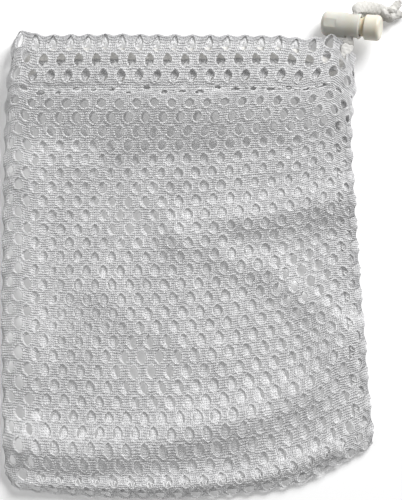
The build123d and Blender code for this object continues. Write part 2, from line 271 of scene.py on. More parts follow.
def plastic_material(name, light, dark, stain_and_shade_colour):
    """Moulded plastic gone slightly yellow, with painted shade in the gap where the button meets the barrel
    and a stain at its edge.
    """
    kit = Nodes(name)
    vector = kit.object_vector()
    haze = kit.noise(vector, 55.0, 3.0)
    scuff = kit.noise(vector, 900.0, 4.0, 0.7)
    blotch = kit.noise(vector, 210.0, 2.0)
    along = kit.add("ShaderNodeVectorMath", operation="DOT_PRODUCT")
    kit.tree.links.new(vector, along.inputs[0])
    along.inputs[1].default_value = tuple(LOCK_AXIS)
    reach = kit.math("MULTIPLY_ADD", along.outputs["Value"], 1.0 / MM, -float(LOCK_CENTRE @ LOCK_AXIS))
    stained_and_shaded = 0.0
    # painted shade in the gap at the button, and the other bands, darken the colour along the axis
    for place, width, amount in STAINS_AND_PAINTED_SHADE:
        offset = kit.math("MULTIPLY_ADD", reach, 1.0 / width, -place / width)
        near = kit.math("POWER", math.e, kit.math("MULTIPLY", kit.math("MULTIPLY", offset, offset), -1.0))
        stained_and_shaded = kit.math("MULTIPLY_ADD", near, amount, stained_and_shaded)
    mixed = kit.math("MULTIPLY_ADD", haze, 0.6, kit.math("MULTIPLY", blotch, 0.4))
    patchy = kit.math("MULTIPLY_ADD", blotch, 1.6, -0.2)
    mixed = kit.math("SUBTRACT", mixed, kit.math("MULTIPLY", stained_and_shaded, patchy))
    kit.colour(kit.ramp(mixed, ((0.10, stain_and_shade_colour), (0.42, dark), (0.70, light))))
    kit.bump(scuff, 0.00003)
    kit.roughness(kit.math("MULTIPLY_ADD", scuff, 0.22, 0.30))
    kit.constants(Subsurface_Weight=0.15, Subsurface_Scale=0.004, Specular_IOR_Level=0.45)
    return kit.material


def wire_material(name):
    kit = Nodes(name)
    vector = kit.object_vector()
    drawn = kit.noise(vector, 1500.0, 3.0)
    kit.colour(kit.ramp(drawn, ((0.3, (0.42, 0.42, 0.43)), (0.7, (0.62, 0.62, 0.63)))))
    kit.roughness(kit.math("MULTIPLY_ADD", drawn, 0.2, 0.2))
    kit.constants(Metallic=1.0)
    return kit.material


def floor_material():
    kit = Nodes("floor")
    kit.constants(Base_Color=(0.95, 0.95, 0.95, 1.0), Roughness=0.9, Specular_IOR_Level=0.1,
                  Emission_Color=(1.0, 1.0, 1.0, 1.0), Emission_Strength=FLOOR_GLOW)
    return kit.material


CLOTH = mesh_cloth_material("mesh_cloth", (0.87, 0.87, 0.875), (0.45, 0.45, 0.46), 0.055)
# painted light: the back's cloth is a lighter copy that glows more, for the light that reaches it through
# the front ply
PAINTED_LIT_UNDER_CLOTH = mesh_cloth_material("mesh_cloth_under_painted_light", (0.90, 0.90, 0.905), (0.60, 0.60, 0.61), 0.14)
THREAD = thread_material("sewing_thread", (0.88, 0.88, 0.88), (0.70, 0.70, 0.70))
CORD = cord_material("braided_cord", (0.64, 0.63, 0.60), (0.34, 0.33, 0.31), 0.05)
# painted light: the cord inside the casing is a lighter copy that glows more, for the light that reaches it
# through the mesh
HEM_CORD_PAINTED_LIGHT = cord_material("braided_cord_in_hem_painted_light", (0.78, 0.77, 0.74), (0.48, 0.47, 0.45), 0.16)
BARREL = plastic_material("barrel_plastic", (0.60, 0.59, 0.545), (0.53, 0.52, 0.47), (0.42, 0.34, 0.19))
BUTTON = plastic_material("button_plastic", (0.655, 0.63, 0.545), (0.60, 0.57, 0.47), (0.44, 0.35, 0.19))
WIRE = wire_material("spring_wire")


# ---------------- mesh helpers

def new_piece(name, points, quads, material, body, slot, uv=None):
    """A mesh object of quads over points in millimetres, with its UV map, material and body; slot is not
    used.
    """
    mesh = bpy.data.meshes.new(name)
    corners = quads.ravel()
    mesh.vertices.add(len(points))
    mesh.vertices.foreach_set("co", points.ravel() * MM)
    mesh.loops.add(len(corners))
    mesh.loops.foreach_set("vertex_index", corners.astype(np.int32))
    mesh.polygons.add(len(quads))
    mesh.polygons.foreach_set("loop_start", np.arange(0, len(corners), 4, dtype=np.int32))
    mesh.polygons.foreach_set("use_smooth", np.full(len(quads), True))
    mesh.update(calc_edges=True)
    mesh.validate()
    if uv is not None:
        layer = mesh.uv_layers.new(name="lattice")
        layer.data.foreach_set("uv", uv[corners].astype(np.float32).ravel())
    mesh.materials.append(material)
    piece = bpy.data.objects.new(name, mesh)
    bpy.context.scene.collection.objects.link(piece)
    if body:
        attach(piece, body)
    return piece


def join_parts(parts):
    """One (points, quads) from several."""
    points = []
    quads = []
    start = 0
    for part_points, part_quads in parts:
        points.append(part_points)
        quads.append(part_quads + start)
        start += len(part_points)
    return np.concatenate(points), np.concatenate(quads)


def smooth_step(value, low, high):
    share = np.clip((value - low) / (high - low), 0.0, 1.0)
    return share * share * (3 - 2 * share)


def reach_along(points):
    """Each point's distance from the first one, along the line."""
    return np.concatenate([[0], np.cumsum(np.linalg.norm(np.diff(points, axis=0), axis=1))])


def at_reach(points, reach, places):
    """The points at those places along a line whose own points are at reach."""
    return np.stack([np.interp(places, reach, points[:, axis]) for axis in range(points.shape[1])], axis=-1)


def unit(vectors):
    return vectors / np.maximum(np.linalg.norm(vectors, axis=-1), 1e-9)[..., None]


def smooth_line(points, samples):
    """A Catmull-Rom curve through points, sampled evenly by chord length."""
    points = np.asarray(points, dtype=float)
    padded = np.vstack([2 * points[0] - points[1], points, 2 * points[-1] - points[-2]])
    steps = np.linspace(0, 1, 24, endpoint=False)[:, None]
    dense = []
    for before, start, end, after in zip(padded, padded[1:], padded[2:], padded[3:]):
        square = steps * steps
        cube = square * steps
        dense.append(0.5 * (2 * start + (end - before) * steps
                            + (2 * before - 5 * start + 4 * end - after) * square
                            + (3 * start - before - 3 * end + after) * cube))
    dense = np.vstack(dense + [points[-1:]])
    reach = reach_along(dense)
    return at_reach(dense, reach, np.linspace(0, reach[-1], samples))


def spline_points(name, control, step):
    """Evenly spaced points on the NURBS curve with these control points."""
    data = bpy.data.curves.new(name, "CURVE")
    data.dimensions = "3D"
    data.resolution_u = 24
    spline = data.splines.new("NURBS")
    spline.points.add(len(control) - 1)
    for place, point in zip(spline.points, control):
        place.co = (*to_metres(point), 1.0)
    spline.order_u = 3
    spline.use_endpoint_u = True
    holder = bpy.data.objects.new(name, data)
    bpy.context.scene.collection.objects.link(holder)
    line = bpy.data.meshes.new_from_object(holder)
    points = np.array([vertex.co[:] for vertex in line.vertices]) / MM
    bpy.data.objects.remove(holder)
    bpy.data.meshes.remove(line)
    reach = reach_along(points)
    return at_reach(points, reach, np.linspace(0, reach[-1], round(reach[-1] / step) + 1))


def frames_along(points, up):
    """Tangent, side and top directions at each point, with side level where it can be."""
    tangent = unit(np.gradient(points, axis=0))
    side = unit(np.cross(tangent, np.asarray(up, float)))
    return tangent, side, np.cross(side, tangent)


CAP_WIDTH = 0.45  # a tube's end narrows to this share and stands out by that share of its half thickness
CAP_BULGE = 0.18


def tube_part(points, width, thickness, sides=16, up=(0, 0, 1), relief=None, close=True):
    """A flattened tube round points: width and thickness may be numbers or one per point."""
    count = len(points)
    tangent, side, top = frames_along(points, up)
    angle = np.linspace(0, TURN, sides, endpoint=False)
    half_width = np.broadcast_to(np.asarray(width, float) / 2, (count,))[:, None]
    half_thick = np.broadcast_to(np.asarray(thickness, float) / 2, (count,))[:, None]
    across = np.cos(angle)[None, :] * half_width
    above = np.sin(angle)[None, :] * half_thick
    if relief is not None:
        swell = 1 + relief(reach_along(points)[:, None], angle[None, :]) / np.hypot(across, above)
        across = across * swell
        above = above * swell
    grid = points[:, None, :] + across[..., None] * side[:, None, :] + above[..., None] * top[:, None, :]
    flat = grid.reshape(-1, 3)
    ring = np.arange(sides)
    rows = np.arange(count - 1)[:, None] * sides
    quads = np.stack([rows + ring, rows + (ring + 1) % sides,
                      rows + sides + (ring + 1) % sides, rows + sides + ring], axis=-1).reshape(-1, 4)
    if close:
        ends = []
        for first, towards in ((0, -1), ((count - 1) * sides, 1)):
            middle = flat[first:first + sides].mean(axis=0)
            cap = len(flat) + sum(len(extra) for extra, _ in ends)
            outward = tangent[0 if towards < 0 else -1] * (towards * CAP_BULGE * half_thick.min())
            small = middle + (flat[first:first + sides] - middle) * CAP_WIDTH + outward
            inner = cap + ring
            strip = np.stack([first + ring, inner, cap + (ring + 1) % sides, first + (ring + 1) % sides],
                             axis=-1)
            half = sides // 2
            lid = np.array([[inner[k], inner[k + 1], inner[sides - k - 2], inner[sides - k - 1]]
                            for k in range(half - 1)])
            if towards > 0:
                strip = strip[:, ::-1]
                lid = lid[:, ::-1]
            ends.append((small, np.vstack([strip, lid[:, ::-1]])))
        flat = np.vstack([flat] + [extra for extra, _ in ends])
        quads = np.vstack([quads] + [faces for _, faces in ends])
    return flat, quads


# ---------------- cords

CORD_WAY = np.array((0.258819, 0.965926, 0.0))  # the cords' way through the lock
UPPER = np.array((66.8, 97.0, 9.25))  # where each cord passes the lock's middle
LOWER = np.array((66.8, 97.0, 6.95))
REACH = 76.0
CASING_SIDE = 9.0
CASING_TOP = 13.4
CORD_WIDTH = 3.3  # the braid is soft and lies flat
CORD_THICKNESS = 1.8
BRAID_PITCH = 2.6
BRAID_STRANDS = 5


def arc_rise(x, edge, top):
    """Height of a circular arc through (REACH, edge), (0, top) and (-REACH, edge)."""
    drop = np.maximum(top - edge, 0.01)
    radius = (REACH ** 2 + drop ** 2) / (2 * drop)
    return top - radius + np.sqrt(np.maximum(radius ** 2 - x ** 2, 0.0))


def in_front_hem(x, y):
    return (x, y, float(arc_rise(x, CASING_SIDE, CASING_TOP)) - 2.1)


LOOP_ROUTE = [
    UPPER - CORD_WAY * 7.8,
    UPPER - CORD_WAY * 11,
    (62.6, 83.2, 8.4),
    (59.6, 81.8, 8.45),
    (54.5, 82.8, 8.8),
    in_front_hem(48, 85.2),
    in_front_hem(22, 86.3),
    in_front_hem(-10, 85),
    in_front_hem(-40, 86),
    (-62.2, 85, 8.4),
    (-65.3, 82.5, 6.55),
    (-65.3, 79, 3.95),
    (-62.2, 76.5, 2.1),
    (-40, 77.2, 2.1),
    (-10, 76.2, 2.1),
    (20, 77, 2.1),
    (52, 76.3, 2.1),
    (57.6, 77.8, 3.2),
    (61.8, 81.6, 5.0),
    LOWER - CORD_WAY * 11,
    LOWER - CORD_WAY * 7.8,
]
UPPER_ROUTE = [
    UPPER - CORD_WAY * 7.8,
    UPPER - CORD_WAY * 2.0,
    UPPER + CORD_WAY * 4.0,
    UPPER + CORD_WAY * 8.1,
    (75.5, 105.0, 2.4),
    (80.6, 103.6, 2.4),
    (83.6, 103.9, 2.7),
    (86.0, 106.8, 1.8),
]
LOWER_ROUTE = [
    LOWER - CORD_WAY * 7.8,
    LOWER - CORD_WAY * 2.0,
    LOWER + CORD_WAY * 3.6,
    LOWER + CORD_WAY * 7.2,
    (73.6, 102.3, 1.5),
    (80.4, 101.0, 2.2),
    (84.0, 101.4, 2.4),
    (87.0, 102.5, 1.7),
]


def braid_relief(reach, angle):
    """Raised strands that cross each other round a flat braid."""
    turn = TURN * reach / BRAID_PITCH
    rising = np.cos(BRAID_STRANDS * angle + turn)
    falling = np.cos(BRAID_STRANDS * angle - turn)
    return 0.17 * np.maximum(rising, falling) - 0.08


def route_length(points):
    return float(np.linalg.norm(np.diff(points, axis=0), axis=1).sum())


def spread_width(points, width):
    """The braid lies flat in the casing, and it is loose on both sides of the lock."""
    reach = (points - LOCK_CENTRE) @ CORD_WAY
    before = smooth_step(-reach, 5.2, 7.0) * (1 - smooth_step(-reach, 9.5, 13.0))
    after = smooth_step(reach, 5.2, 7.0) * (1 - smooth_step(points[:, 0], 78.0, 81.0))
    near = 1 - smooth_step(np.linalg.norm(points - LOCK_CENTRE, axis=1), 17.0, 20.0)
    in_casing = smooth_step(points[:, 1], 78, 82) * smooth_step(points[:, 2], 7.6, 8.6)
    in_casing = in_casing * (1 - smooth_step(points[:, 0], 50, 56))
    in_lock = 1 - smooth_step(np.abs(reach), 5.2, 6.2)
    return width + 1.5 * near * np.maximum(before, after) + 1.2 * in_casing - 0.5 * near * in_lock


def braided_cord(name, control, body, material):
    points = spline_points(name, control, 0.22)
    width = spread_width(points, CORD_WIDTH)
    corners, quads = tube_part(points, width, CORD_THICKNESS, sides=24, relief=braid_relief)
    piece = new_piece(name, corners, quads, material, body, "cord")
    return piece, points


loop_cord, loop_points = braided_cord("drawstring_braid", LOOP_ROUTE, "bag", HEM_CORD_PAINTED_LIGHT)
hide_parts("drawstring")

for end_name, end_route, cad_node in (("cord_end_upper_braid", UPPER_ROUTE, "cord_end_upper"),
                                      ("cord_end_lower_braid", LOWER_ROUTE, "cord_end_lower")):
    end_cord, end_points = braided_cord(end_name, end_route, None, CORD)
    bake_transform(end_cord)
    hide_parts(cad_node)


# ---------------- the shape of the bag

CELL_SIZE = np.array((7.05, 5.95))  # a column's width and a row's height
COLUMNS = 21  # holes across one side of the bag, so twice as many round it
ROWS = 32
EDGE_ROUND = 5.5  # how far in from a side fold the cloth is still turning over
BOTTOM_ROUND = 5.6  # and from the bottom, on the front and on the back
BACK_BOTTOM_ROUND = 3.0
MOUTH_ROUND = 1.0
MOUTH_TAPER = 6.5  # how far down from the fold the plies draw apart
BACK_LEVEL = 0.7
BACK_SWELL = 0.2
PLIES_APART = 0.95  # the front rests on the back, middle to middle
BOTTOM_LEVEL = 1.5
PLY_GAP = 2.7  # between the two plies of the casing, middle to middle
FOLD_GAP = 1.0  # and where the cloth turns over at the mouth
STITCHED_GAP = 0.75  # and at the stitches
SPAN_ACROSS = 145.0  # the bag's usual width and height in plan
SPAN_UP = 186.0

# the outline in plan
LEFT_SIDE = ((-72.0, -89.9), (-74.1, -85.0), (-75.3, -70), (-76.0, -20), (-75.2, 30), (-74.2, 67),
             (-71.9, 84), (-70.9, 91.3))
RIGHT_SIDE = ((75.3, -72.9), (75.6, -68.5), (73.6, -50), (71.0, -18), (69.0, 10), (66.9, 40), (66.8, 58),
              (68.2, 74), (67.2, 80.5), (68.6, 84.3))
BOTTOM_SIDE = ((-72.0, -89.9), (-66, -91.6), (-48, -93.4), (-20, -95.0), (10, -94.4), (30, -91.9),
               (46, -88.5), (60, -81.2), (70, -76.6), (75.3, -72.9))
TOP_SIDE = ((-70.9, 91.3), (-68.3, 94.4), (-65.2, 95.0), (-61.4, 93.5), (-56, 93.0), (-30, 93.2),
            (0, 92.8), (36, 92.6), (47, 91.4), (54, 92.2), (59.3, 93.1), (64.2, 89.0), (68.6, 84.3))

# height of the front above the floor: at y, at its sides and in its middle
FRONT_RISE = np.array(((-100, 1.0, 1.0), (18, 1.0, 1.2), (42, 2.5, 4.0), (65, 7.4, 12.2),
                       (71.5, 9.0, 13.2), (100, 9.0, 13.4)))

# where the rows of holes lie, from the bottom edge, 0, to the mouth, 1
ROW_PLACES = np.interp(np.arange(ROWS), (0, 1, 2, 3, 4, 5, 10, 26, 27, 28, 29, 30, 31),
                       (0.009, 0.037, 0.067, 0.102, 0.139, 0.172, 0.337, 0.820, 0.851, 0.877, 0.910,
                        0.944, 0.980))
ROW_TILT = 3.4  # how far the rows' right ends are drawn up, half way up the bag

# soft folds in the front: height, half width and the line of the crest
FOLDS = (
    (4.8, 9.0, ((66, -28), (50, -50), (28, -61), (-5, -70), (-42, -77.5), (-66, -73))),
    (4.2, 8.5, ((-2, 13), (12, 16), (35, 21), (66, 28))),
    (-2.2, 9.0, ((-6, 66), (-26, 42), (-42, 16), (-46, 0))),
    (2.0, 8.0, ((-66, 40), (-69, -10), (-66, -45))),
    (2.0, 7.0, ((14, 4), (34, -2), (52, -16))),
    (-1.5, 7.0, ((4, 14), (18, 12))),
    (1.7, 9.0, ((-38, -8), (-20, -26), (6, -36))),
    (3.0, 19.0, ((-50, 46), (0, 52), (66, 50))),
    (2.4, 3.4, ((-68, -90), (-40, -91), (-5, -90), (30, -86.5), (60, -75))),
)
STITCH_LINE = 71.6  # the row of stitches that closes the casing
STITCH_DIP = 0.8  # how far it draws the front down, and over what half width
STITCH_DIP_WIDTH = 1.8
FOLD_BASE = 0.5
FOLD_WAVES = 0.70
FOLDS_END = (52, 68)  # the folds die out between these heights, under the casing


def fold_over(distance, reach):
    """A quarter ellipse: 0 at an edge, 1 from reach inwards."""
    inward = 1 - np.minimum(np.maximum(distance, 0) / reach, 1)
    return np.sqrt(np.maximum(1 - inward ** 2, 0.0))


def distance_to_line(x, y, line):
    best = np.full(np.shape(x), 1e9)
    for (ax, ay), (bx, by) in zip(line, line[1:]):
        dx, dy = bx - ax, by - ay
        share = np.clip(((x - ax) * dx + (y - ay) * dy) / (dx * dx + dy * dy), 0, 1)
        best = np.minimum(best, np.hypot(x - ax - share * dx, y - ay - share * dy))
    return best


class Waves:
    """Smooth seeded noise over a plane, from about -1 to 1."""

    size = 97  # steps of spacing after which it repeats

    def __init__(self, spacing, seed):
        self.spacing = spacing
        self.table = np.random.default_rng(seed).uniform(-1, 1, (self.size, self.size))

    def __call__(self, x, y):
        x = np.asarray(x) / self.spacing + 40
        y = np.asarray(y) / self.spacing + 40
        column = np.floor(x).astype(int)
        row = np.floor(y).astype(int)
        fx = x - column
        fy = y - row
        fx = fx * fx * (3 - 2 * fx)
        fy = fy * fy * (3 - 2 * fy)
        below, above = row % self.size, (row + 1) % self.size
        left, right = column % self.size, (column + 1) % self.size
        low = self.table[below, left] * (1 - fx) + self.table[below, right] * fx
        high = self.table[above, left] * (1 - fx) + self.table[above, right] * fx
        return low * (1 - fy) + high * fy


wide_waves = Waves(17.0, SEED)
small_waves = Waves(6.5, SEED + 1)
back_waves = Waves(14.0, SEED + 2)
slip_waves = Waves(34.0, SEED + 6)


def soft_table(y, values):
    """The table's value at y, averaged over a few millimetres so that it has no corners."""
    nearby = [np.interp(y + step, FRONT_RISE[:, 0], values) for step in (-1.5, 0.0, 1.5)]
    return sum(nearby) / len(nearby)


def relief(x, y):
    """The folds that both halves share, as a height above the floor."""
    folds = sum(rise * np.exp(-(distance_to_line(x, y, line) / width) ** 2) for rise, width, line in FOLDS)
    folds = folds + FOLD_WAVES * wide_waves(x, y) + FOLD_BASE
    folds = np.logaddexp(0.0, folds * 2.5) / 2.5
    return folds * (1 - smooth_step(y, *FOLDS_END))


def back_level(x, y):
    """Height of the back half where it lies flat."""
    return BACK_LEVEL + BACK_SWELL * (1 + back_waves(x, y)) + relief(x, y)


def front_height(x, y):
    """The front follows the casing's bow at the top and rests on the back below."""
    bow = arc_rise(x, soft_table(y, FRONT_RISE[:, 1]), soft_table(y, FRONT_RISE[:, 2]))
    dip = STITCH_DIP * (1 + 0.5 * small_waves(x, y)) * np.exp(-((y - STITCH_LINE) / STITCH_DIP_WIDTH) ** 2)
    bow = bow - dip + 0.20 * small_waves(x, y)
    resting = back_level(x, y) + PLIES_APART + 0.12 * (1 + small_waves(x, y))
    return resting + np.logaddexp(0.0, (bow - resting) * 2.0) / 2.0


def side_height(x, y):
    """Where the halves meet at a side."""
    low = back_level(x, y)
    return 0.5 * (low + np.maximum(soft_table(y, FRONT_RISE[:, 1]), low + PLIES_APART))


def plan_patch(across, along):
    """Where (across, along), each from 0 to 1, lies in plan: a Coons patch of the four sides."""
    def side_at(line, share):
        return at_reach(smooth_line(line, 241), np.linspace(0, 1, 241), share)

    left = side_at(LEFT_SIDE, along)
    right = side_at(RIGHT_SIDE, along)
    bottom = side_at(BOTTOM_SIDE, across)
    top = side_at(TOP_SIDE, across)
    a = across[..., None]
    b = along[..., None]
    corners = ((1 - a) * (1 - b) * np.array(BOTTOM_SIDE[0]) + a * (1 - b) * np.array(BOTTOM_SIDE[-1])
               + (1 - a) * b * np.array(TOP_SIDE[0]) + a * b * np.array(TOP_SIDE[-1]))
    plan = (1 - a) * left + a * right + (1 - b) * bottom + b * top - corners
    plan[..., 1] += ROW_TILT * np.sin(np.pi * np.clip(along, 0, 1)) * np.clip(across, 0, 1) ** 1.5
    return plan


OPEN_CORNER = (65.5, 87.5)  # where the casing's end stands open for the cords
BACK_SLIP = ((3.4, 1.2), (-0.6, 2.0))  # across and up: mean and swing
# where the back's holes lie under the front's after all: middle and reach
BACK_LINED_UP = ((-19.5, -42.0, 19.0), (45.0, -4.0, 13.0), (-26.0, 20.0, 15.0))


def mouth_drop(below):
    """How far a ply leans towards the other one, at a distance below the mouth's fold."""
    turned = 0.5 * FOLD_GAP * (1 - fold_over(below, MOUTH_ROUND))
    return turned + 0.5 * (PLY_GAP - FOLD_GAP) * (1 - smooth_step(below, 0.0, MOUTH_TAPER))


def side_turn(across):
    """0 at both sides and 1 where the cloth lies flat between them."""
    left = fold_over(across * SPAN_ACROSS, EDGE_ROUND)
    return left * fold_over((1 - across) * SPAN_ACROSS, EDGE_ROUND)


def front_point(across, along):
    """The front half's surface at shares of its width and height."""
    plan = plan_patch(across, along)
    x, y = plan[..., 0], plan[..., 1]
    height = front_height(x, y)
    side_level = side_height(x, y)
    sides = side_turn(across)
    z = side_level + (height - side_level) * sides
    z = BOTTOM_LEVEL + (z - BOTTOM_LEVEL) * fold_over(along * SPAN_UP, BOTTOM_ROUND)
    z = z - mouth_drop((1 - along) * SPAN_UP)
    opened = 1 - smooth_step(np.hypot(x - OPEN_CORNER[0], y - OPEN_CORNER[1]), 5, 11)
    z = z + opened * np.maximum(height - 0.6 - z, 0)
    return np.stack([x, y, z], axis=-1)


def back_slip(x, y):
    """How far the back's holes slip from under the front's: not at all by the edges and the casing."""
    inside = smooth_step(x + 73, 3, 16) * smooth_step(73 - x, 3, 16)
    inside = inside * smooth_step(y + 93, 0, 14) * (1 - smooth_step(y, 50, 66))
    for lined_up_x, lined_up_y, reach in BACK_LINED_UP:
        inside = inside * (1 - np.exp(-((x - lined_up_x) ** 2 + (y - lined_up_y) ** 2) / reach ** 2))
    (across, across_swing), (up, up_swing) = BACK_SLIP
    return (inside * (across + across_swing * slip_waves(x, y)),
            inside * (up + up_swing * slip_waves(y + 60, x)))


def back_point(across, along):
    """The back half's surface at shares of its width and height."""
    plan = plan_patch(across, along)
    x, y = plan[..., 0], plan[..., 1]
    y = y + back_slip(x, y)[1]
    side_level = side_height(x, y)
    floor_level = back_level(x, y)
    sides = side_turn(across)
    z = side_level + (floor_level - side_level) * sides
    z = BOTTOM_LEVEL + (z - BOTTOM_LEVEL) * fold_over(along * SPAN_UP, BACK_BOTTOM_ROUND)
    z = z + mouth_drop((1 - along) * SPAN_UP) * sides
    return np.stack([x, y, z], axis=-1)


def row_share(v):
    """Share of the bag's height, in plan, at row coordinate v."""
    centres = np.arange(ROWS) + 0.5
    return np.interp(v, np.concatenate([[0], centres, [ROWS]]), np.concatenate([[0], ROW_PLACES, [1]]))


class Skin:
    """A surface over lattice coordinates: u counts columns round the bag, v counts rows up it."""

    def __init__(self, grid, per_cell, periodic=False):
        self.grid = grid
        self.per_cell = per_cell
        self.periodic = periodic
        if periodic:
            along_u = np.roll(grid, -1, axis=1) - np.roll(grid, 1, axis=1)
        else:
            along_u = np.gradient(grid, axis=1)
        self.normal = unit(np.cross(along_u, np.gradient(grid, axis=0)))

    def at(self, u, v):
        rows, columns = self.grid.shape[:2]
        x = np.asarray(u) * self.per_cell
        y = np.clip(np.asarray(v) * self.per_cell, 0, rows - 1.001)
        if not self.periodic:
            x = np.clip(x, 0, columns - 1.001)
        column = np.floor(x).astype(int)
        row = np.floor(y).astype(int)
        fx = (x - column)[..., None]
        fy = (y - row)[..., None]
        left = column % columns
        right = (column + 1) % columns

        def blend_of(table):
            low = table[row, left] * (1 - fx) + table[row, right] * fx
            high = table[row + 1, left] * (1 - fx) + table[row + 1, right] * fx
            return low * (1 - fy) + high * fy

        return blend_of(self.grid), unit(blend_of(self.normal))


PER_CELL = 8


def even_rows(points, count, slip=None):
    """Each row of points resampled to count + 1 points, evenly by length but for the slip."""
    result = np.empty((len(points), count + 1, 3))
    for index, row in enumerate(points):
        reach = reach_along(row)
        places = np.linspace(0, reach[-1], count + 1)
        if slip:
            x, y, _ = at_reach(row, reach, places).T
            places = places + slip(x, y)[0]
        result[index] = at_reach(row, reach, places)
    return result


SIDE_SCALLOP = 0.50
END_SCALLOP = 0.45
SCALLOP_DEPTH = 3.5  # how far in the scallops reach


def scalloped(grid):
    """The folds and the mouth bulge beside each hole that lies on them."""
    v = (np.arange(grid.shape[0]) / PER_CELL)[:, None]
    u = (np.arange(grid.shape[1]) / PER_CELL)[None, :]
    near_right = np.exp(-((u - COLUMNS) * CELL_SIZE[0] / SCALLOP_DEPTH) ** 2)
    near_left = np.exp(-(np.minimum(u, 2 * COLUMNS - u) * CELL_SIZE[0] / SCALLOP_DEPTH) ** 2)
    near_top = np.exp(-((ROWS - v) * CELL_SIZE[1] / SCALLOP_DEPTH) ** 2)
    near_bottom = np.exp(-(v * CELL_SIZE[1] / SCALLOP_DEPTH) ** 2)
    grid[..., 0] -= SIDE_SCALLOP * np.cos(np.pi * (v - 0.5)) * (near_right - near_left)
    grid[..., 1] += END_SCALLOP * np.cos(TURN * u) * (near_top + near_bottom)
    return grid


def bag_skin():
    along = row_share(np.linspace(0, ROWS, ROWS * PER_CELL + 1))[:, None]
    fine = 0.5 - 0.5 * np.cos(np.linspace(0, np.pi, 700))[None, :]
    along, across = np.broadcast_arrays(along, fine)
    front = even_rows(front_point(across, along), COLUMNS * PER_CELL)
    back = even_rows(back_point(across, along), COLUMNS * PER_CELL, back_slip)[:, ::-1]
    grid = np.concatenate([front[:, :-1], back[:, :-1]], axis=1)
    return Skin(scalloped(grid), PER_CELL, periodic=True)


SKIN = bag_skin()

# ---------------- the mesh of holes

RING = np.array([(0, 12), (1, 10), (2, 8), (3, 6), (3, 2), (3, -2), (3, -6), (2, -8), (1, -10),
                 (0, -12), (-1, -10), (-2, -8), (-3, -6), (-3, -2), (-3, 2), (-3, 6), (-2, 8), (-1, 10)])
RING_UNITS = np.array((6, 18))  # steps of RING in one column and one row
# share towards the hole, height, and how much painted highlight it gets as part of the hole's rim
STRAND_RINGS = ((0.35, 0.04, 0.0), (0.66, 0.20, 0.7), (0.90, 0.26, 1.0), (1.0, -0.05, 0.8),
                (0.86, -0.38, 0.0))
STRAND_UNDER = -0.46
EDGE_SNAP = 0.17  # cells this near to an end row's edge, in rows, are drawn out to it
PAINTED_EDGE_SHADE = 2.2  # painted shade: the cloth is darker where it turns over, away from the light, at the mouth and at the right side
PAINTED_SHADE_REACH = (2.4, 1.8)  # how far in from the right side and from the mouth
HOLE_POWERS = (1.45, 1.75)  # the holes are pointed, more so at the top: 2 is round
LEAN = 0.18
WOBBLE = 0.10
size_waves = Waves(3.1, SEED + 3)
lean_waves = Waves(2.3, SEED + 4)


